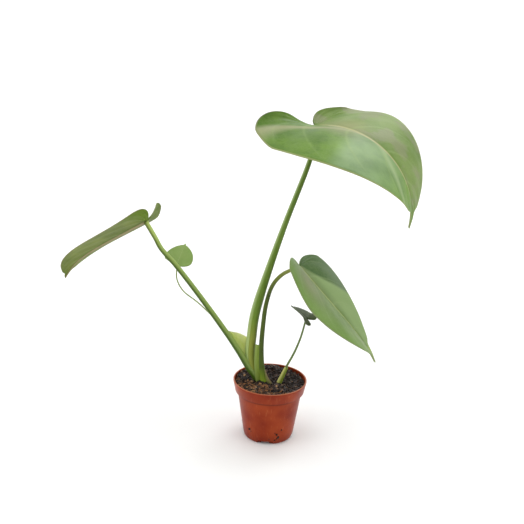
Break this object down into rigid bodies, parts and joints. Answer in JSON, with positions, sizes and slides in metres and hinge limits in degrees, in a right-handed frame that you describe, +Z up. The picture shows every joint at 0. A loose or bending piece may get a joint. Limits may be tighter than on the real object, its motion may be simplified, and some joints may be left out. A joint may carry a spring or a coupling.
{
  "type": "potted swiss cheese plant",
  "caption": "Young swiss cheese plant with smooth heart-shaped leaves on long arching stalks, growing from bark-flecked soil in a small round nursery pot.",
  "frame": {"origin": "centre of the pot's underside, in the plane the pot stands on", "axes": "+Z up; +X to the right and +Y away from someone who looks at the plant's front, with the large leaf on the right"},
  "size_m": [0.2888, 0.1251, 0.2659],
  "materials": {
    "pot": "satin, thin injection-moulded plastic",
    "soil": "moist loose peat with bark chips",
    "stalk": "smooth, slightly glossy plant stem",
    "dark_stalk": "smooth, slightly glossy plant stem",
    "pale_stalk": "smooth plant stem",
    "leaf_top": "leathery leaf with a soft waxy gloss",
    "leaf_underside": "matte leaf underside",
    "leaf_grey_green": "leathery leaf with a soft waxy gloss",
    "leaf_dark": "soft young leaf",
    "leaf_light": "soft young leaf",
    "scale_leaf": "thin papery scale"
  },
  "bodies": {
    "root": {"pot": "pot", "soil": "soil", "main_stem": "stalk", "large_leaf_stalk": "stalk", "left_leaf_stalk": "stalk", "right_leaf_stalk": "dark_stalk", "young_leaf_stalk": "dark_stalk", "back_leaf_stalk": "pale_stalk", "large_leaf_blade": "leaf_top", "left_leaf_blade": "leaf_underside", "right_leaf_blade": "leaf_grey_green", "young_leaf_blade": "leaf_dark", "back_leaf_blade": "leaf_light", "young_leaf_scale": "scale_leaf"}
  },
  "joints": []
}
